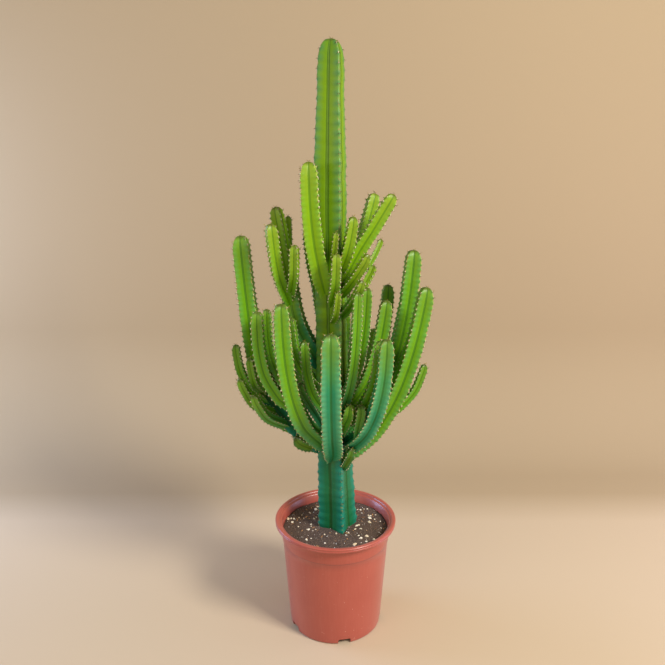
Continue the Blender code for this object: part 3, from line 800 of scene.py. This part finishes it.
# Sweeps a ribbed section along the line, with toothed rib edges, and sets spines on the teeth
def stemTree():
    tree, given = newTree("ribbedStem", {
        "Ring Step": stemLook["ringStep"], "Round Points": stemLook["roundPoints"],
        "Groove Reach": stemLook["grooveReach"], "Edge Round": stemLook["edgeRound"],
        "Areole Spacing": stemLook["areoleSpacing"], "Tooth Height": stemLook["toothHeight"],
        "Ripple Height": stemLook["ripple"], "Lump Height": stemLook["lump"],
        "Dome Length": stemLook["domeLength"], "Neck Length": stemLook["neckLength"],
        "Neck Share": stemLook["neckShare"], "Spine Length": stemLook["spine"], "Seed": 1,
        "Coolness": 0.0, "Skin": skins["green_stem_skin"], "Felt": felt, "Horn": horn, "Leaf": leaf})
    maths, vector = "Math", "VectorMath"
    store, read = "StoreNamedAttribute", "InputNamedAttribute"
    ribs = 4

    line = add(tree, "MeshToCurve", given["Geometry"])
    smooth = add(tree, "CurveSplineType", line, spline_type="CATMULL_ROM")
    rings = add(tree, "ResampleCurve", smooth, mode="LENGTH",
                named={"Length": given["Ring Step"]})

    # frame of each ring
    girth = add(tree, read, "girth")
    ribWay = add(tree, read, "ribWay", data_type="FLOAT_VECTOR")
    forward = add(tree, "InputTangent")
    cross = add(tree, vector, forward, ribWay, operation="CROSS_PRODUCT")
    sideways = add(tree, vector, cross, operation="NORMALIZE")
    ribward = add(tree, vector, sideways, forward, operation="CROSS_PRODUCT")

    # where the ring is on the stem: metres from the tip, and areoles counted from the foot
    run = add(tree, "SplineLength")
    along = add(tree, "SplineParameter").outputs["Length"]
    toTip = add(tree, maths, run, along, operation="SUBTRACT")
    wanted = add(tree, maths, run, given["Areole Spacing"], operation="DIVIDE")
    areoles = add(tree, maths, add(tree, maths, wanted, operation="ROUND"), 1.0, operation="MAXIMUM")
    share = add(tree, maths, along, run, operation="DIVIDE")
    phase = add(tree, maths, share, areoles, operation="MULTIPLY")

    # girth of the ring: rounded off at the tip, drawn in where it joins, uneven between
    domeRun = add(tree, maths, girth, given["Dome Length"], operation="MULTIPLY")
    inDome = add(tree, maths, toTip, domeRun, operation="DIVIDE", use_clamp=True)
    bluntness = 2.4
    fromTop = add(tree, maths, 1.0, inDome, operation="SUBTRACT")
    curved = add(tree, maths, add(tree, maths, fromTop, bluntness, operation="POWER"), -1.0, 1.0,
                 operation="MULTIPLY_ADD")
    dome = add(tree, maths, add(tree, maths, curved, 1 / bluntness, operation="POWER"), 0.03,
               operation="MAXIMUM")
    neckRun = add(tree, maths, girth, given["Neck Length"], operation="MULTIPLY")
    neck = add(tree, "MapRange", along, 0.0, neckRun, given["Neck Share"], 1.0,
               interpolation_type="SMOOTHSTEP")
    spot = add(tree, "InputPosition")
    seeded = add(tree, "CombineXYZ", given["Seed"], given["Seed"], 0.0)
    away = add(tree, vector, spot, seeded, operation="ADD")
    swell = add(tree, "TexNoise", named={"Vector": away, "Scale": 22.0, "Detail": 1.0})
    uneven = add(tree, "MapRange", swell, 0.3, 0.7, 0.955, 1.035)
    domed = add(tree, maths, girth, dome, operation="MULTIPLY")
    necked = add(tree, maths, domed, neck, operation="MULTIPLY")
    size = add(tree, maths, necked, uneven, operation="MULTIPLY")

    shaped = rings
    for name, value, kind in (("middle", spot, "FLOAT_VECTOR"), ("ribward", ribward, "FLOAT_VECTOR"),
                              ("sideways", sideways, "FLOAT_VECTOR"), ("forward", forward, "FLOAT_VECTOR"),
                              ("toTip", toTip, "FLOAT"), ("phase", phase, "FLOAT"), ("size", size, "FLOAT")):
        shaped = add(tree, store, shaped, None, name, value, data_type=kind)

    # the round of points: closer together near the ribs' edges
    circle = add(tree, "CurvePrimitiveCircle", given["Round Points"],
                 named={"Radius": 0.001})
    step = add(tree, maths, add(tree, "InputIndex"), ribs, operation="MULTIPLY")
    turn = add(tree, maths, step, given["Round Points"], operation="DIVIDE")
    nearest = add(tree, maths, turn, operation="ROUND")
    offset = add(tree, maths, turn, nearest, operation="SUBTRACT")
    half = add(tree, maths, add(tree, maths, offset, operation="ABSOLUTE"), 2.0, operation="MULTIPLY")
    groove = add(tree, maths, half, 1.35, operation="POWER")
    signed = add(tree, maths, groove, add(tree, maths, offset, operation="SIGN"), operation="MULTIPLY")
    placed = add(tree, maths, signed, 0.5, nearest, operation="MULTIPLY_ADD")
    angle = add(tree, maths, placed, 2 * math.pi / ribs, operation="MULTIPLY")
    odd = add(tree, maths, nearest, 2.0, operation="MODULO")
    outline = circle
    for name, value in (("groove", groove), ("angle", angle), ("odd", odd)):
        outline = add(tree, store, outline, None, name, value)
    tube = add(tree, "CurveToMesh", shaped, outline, named={"Fill Caps": True})

    # reach of the straight-sided ribs, from the edge in to the groove
    onTube = {name: add(tree, read, name)
              for name in ("groove", "angle", "odd", "phase", "size")}
    ways = {name: add(tree, read, name, data_type="FLOAT_VECTOR")
            for name in ("middle", "ribward", "sideways")}
    halfRib = math.pi / ribs
    fromEdge = add(tree, maths, onTube["groove"], halfRib, operation="MULTIPLY")
    squared = add(tree, maths, fromEdge, fromEdge, operation="MULTIPLY")
    roundEdge = add(tree, maths, given["Edge Round"], given["Edge Round"], operation="MULTIPLY")
    summed = add(tree, maths, squared, roundEdge, operation="ADD")
    softened = add(tree, maths, add(tree, maths, summed, operation="SQRT"), given["Edge Round"],
                   operation="SUBTRACT")
    toGroove = add(tree, maths, halfRib, softened, operation="SUBTRACT")
    below = add(tree, maths, add(tree, maths, toGroove, operation="SINE"), given["Groove Reach"],
                add(tree, maths, softened, operation="SINE"), operation="MULTIPLY_ADD")
    above = add(tree, maths, given["Groove Reach"], math.sin(halfRib), operation="MULTIPLY")
    straight = add(tree, maths, above, below, operation="DIVIDE")
    sunk = add(tree, maths, add(tree, maths, onTube["groove"], 14.0, operation="POWER"), -0.035,
               straight, operation="MULTIPLY_ADD")

    # teeth on the edges, half a step apart on neighbouring ribs, and ripples beside them
    beat = add(tree, maths, onTube["odd"], 0.5, onTube["phase"], operation="MULTIPLY_ADD")
    cycle = add(tree, maths, beat, 2 * math.pi, operation="MULTIPLY")
    hump = add(tree, maths, add(tree, maths, cycle, operation="COSINE"), 0.5, 0.5,
               operation="MULTIPLY_ADD")
    tooth = add(tree, maths, hump, 1.7, operation="POWER")
    onRib = add(tree, maths, 1.0, onTube["groove"], operation="SUBTRACT")
    atEdge = add(tree, maths, onRib, 6.0, operation="POWER")
    teeth = add(tree, maths, add(tree, maths, tooth, atEdge, operation="MULTIPLY"),
                given["Tooth Height"], operation="MULTIPLY")
    late = add(tree, maths, cycle, 1.2, operation="ADD")
    beside = add(tree, maths, onRib, 1.5, operation="POWER")
    ripple = add(tree, maths, add(tree, maths, add(tree, maths, late, operation="SINE"), beside,
                 operation="MULTIPLY"), given["Ripple Height"], operation="MULTIPLY")
    lumps = add(tree, "TexNoise", named={"Vector": away, "Scale": 75.0, "Detail": 2.0})
    centred = add(tree, maths, lumps, 0.5, operation="SUBTRACT")
    lumpy = add(tree, maths, centred, given["Lump Height"], ripple, operation="MULTIPLY_ADD")
    reach = add(tree, maths, add(tree, maths, sunk, teeth, operation="ADD"), lumpy, operation="ADD")
    radius = add(tree, maths, reach, onTube["size"], operation="MULTIPLY")

    across = add(tree, maths, add(tree, maths, onTube["angle"], operation="COSINE"), radius,
                 operation="MULTIPLY")
    aside = add(tree, maths, add(tree, maths, onTube["angle"], operation="SINE"), radius,
                operation="MULTIPLY")
    first = add(tree, vector, ways["ribward"], named={"Scale": across}, operation="SCALE")
    second = add(tree, vector, ways["sideways"], named={"Scale": aside}, operation="SCALE")
    out = add(tree, vector, ways["middle"], add(tree, vector, first, second, operation="ADD"),
              operation="ADD")
    skin = add(tree, "SetPosition", tube, None, out)
    counted = add(tree, store, skin, None, "beat", beat)
    cooled = add(tree, store, counted, None, "coolness", given["Coolness"])
    facing = add(tree, "FlipFaces", cooled)
    satin = add(tree, "SetShadeSmooth", facing)
    skinPart = add(tree, "SetMaterial", satin, named={"Material": given["Skin"]})

    # one point for each areole: whole beats on the even ribs, half beats on the odd ones
    twice = add(tree, maths, areoles, 2.0, 1.0, operation="MULTIPLY_ADD")
    spaced = add(tree, "ResampleCurve", shaped, mode="COUNT", named={"Count": twice})
    dots = add(tree, "CurveToPoints", spaced, mode="EVALUATED")
    parity = add(tree, maths, add(tree, "InputIndex"), 2.0, operation="MODULO")
    marked = add(tree, store, dots, None, "parity", parity)
    numbered = add(tree, "DuplicateElements", marked, domain="POINT", named={"Amount": 2})
    rib = add(tree, maths, numbered.outputs["Duplicate Index"], 2.0,
              add(tree, read, "parity"), operation="MULTIPLY_ADD")
    ribTurn = add(tree, maths, rib, 2 * math.pi / ribs, operation="MULTIPLY")
    cosine = add(tree, maths, ribTurn, operation="COSINE")
    sine = add(tree, maths, ribTurn, operation="SINE")
    partA = add(tree, vector, ways["ribward"], named={"Scale": cosine}, operation="SCALE")
    partB = add(tree, vector, ways["sideways"], named={"Scale": sine}, operation="SCALE")
    outward = add(tree, vector, partA, partB, operation="ADD")
    tall = add(tree, maths, add(tree, maths, given["Tooth Height"], 0.97, operation="ADD"),
               onTube["size"], operation="MULTIPLY")
    edgeSpot = add(tree, vector, outward, named={"Scale": tall}, operation="SCALE")
    seat = add(tree, vector, ways["middle"], edgeSpot, operation="ADD")
    named = add(tree, store, numbered.outputs["Geometry"], None, "outward", outward,
                data_type="FLOAT_VECTOR")
    seated = add(tree, "SetPosition", named, None, seat)
    outRead = add(tree, read, "outward", data_type="FLOAT_VECTOR")
    forwardRead = add(tree, read, "forward", data_type="FLOAT_VECTOR")
    facingOut = add(tree, "FunctionNodeAxesToRotation", outRead, forwardRead,
                    primary_axis="Z", secondary_axis="Y")

    # an areole: a pad of felt, and two spines that part sideways and a little downwards
    pad = add(tree, "MeshIcoSphere", 0.001, 1)
    padFlat = add(tree, "Transform", pad, named={"Scale": (1.15, 1.9, 0.9)})
    padPart = add(tree, "SetMaterial", padFlat, named={"Material": given["Felt"]})
    spike = add(tree, "MeshCone", 5, 1, 1, 0.00005, 0.00055, given["Spine Length"])
    pair = [padPart]
    for lean in (-1, 1):
        leaning = add(tree, "Transform", spike,
                      named={"Rotation": (0.35, lean * 0.85, 0.0), "Translation": (lean * 0.0005, 0.0, 0.0)})
        pair.append(add(tree, "SetMaterial", leaning, named={"Material": given["Horn"]}))
    areole = add(tree, "JoinGeometry")
    for piece in reversed(pair):
        tree.links.new(piece.outputs[0], areole.inputs[0])
    bigness = add(tree, "FunctionNodeRandomValue",
                  named={2: 0.6, 3: 1.3, "Seed": given["Seed"]})
    grownUp = add(tree, "MapRange", onTube["size"], 0.0, 0.008, 0.25, 1.0)
    spineScale = add(tree, maths, bigness.outputs[1], grownUp, operation="MULTIPLY")
    clear = add(tree, maths, onTube["phase"], 1.2, operation="GREATER_THAN")
    spines = add(tree, "InstanceOnPoints", seated, clear, areole,
                 named={"Rotation": facingOut, "Scale": spineScale})

    # the last areoles still carry their leaves
    blade = add(tree, "MeshCone", 6, 1, 1, 0.0001, 0.0011, 0.0042)
    bladeFlat = add(tree, "Transform", blade,
                    named={"Rotation": (-0.5, 0.0, 0.0), "Scale": (1.0, 0.35, 1.0),
                           "Translation": (0.0, 0.0008, 0.001)})
    leafPart = add(tree, "SetMaterial", bladeFlat, named={"Material": given["Leaf"]})
    tipOnly = add(tree, maths, add(tree, read, "toTip"), 0.016, operation="LESS_THAN")
    leaves = add(tree, "InstanceOnPoints", seated, tipOnly, leafPart,
                 named={"Rotation": facingOut, "Scale": bigness.outputs[1]})

    whole = add(tree, "JoinGeometry")
    for piece in (leaves, spines, skinPart):
        tree.links.new(piece.outputs[0], whole.inputs[0])
    real = add(tree, "RealizeInstances", whole)
    for name in ("middle", "ribward", "sideways", "forward", "outward", "angle", "odd", "parity"):
        real = add(tree, "RemoveAttribute", real, name)
    add(tree, "NodeGroupOutput", real)
    return tree


ribbedStem = stemTree()


def growStem(name, seed, slotName):
    isMain = name == "main_stem"
    knots = pathOf(frame["nodes"][name], isMain)
    girth = max(knot[1] for knot in knots)
    # each stem ages at its own rate, and a stouter one has its areoles further apart
    own = 0.0 if isMain else stemLook["coolSpread"] * math.sin(seed * 2.4)
    spacing = stemLook["leaderSpacing"] if isMain else stemLook["areoleSpacing"] * (0.75 + girth / 0.08)
    piece = grown(name + "_skin", pathMesh(name, knots), ribbedStem, {
        "Round Points": stemLook["leaderPoints" if isMain else "roundPoints"],
        "Groove Reach": stemLook["leaderGroove" if isMain else "grooveReach"],
        "Areole Spacing": spacing,
        "Tooth Height": stemLook["leaderTeeth" if isMain else "toothHeight"] * min(1.2, 0.018 / girth),
        "Neck Share": 1.0 if isMain else stemLook["neckShare"],
        "Spine Length": stemLook["spine"] * (0.7 + girth / 0.06),
        "Coolness": stemLook["coolness"].get(name, own),
        "Seed": seed, "Skin": skins[slotName],
    })
    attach(piece, "root")
    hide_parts(name)
    return piece


slotOf = {part["node"]: part["material_slot"] for part in frame["record"]["subparts"]}
stemNames = sorted(name for name, slotName in slotOf.items() if slotName in skins)
total = 0
for seed, stemName in enumerate(stemNames):
    stem = growStem(stemName, seed, slotOf[stemName])
    total += sum(len(face.vertices) - 2 for face in stem.data.polygons)
print(f"{len(stemNames)} stems, {total} triangles")
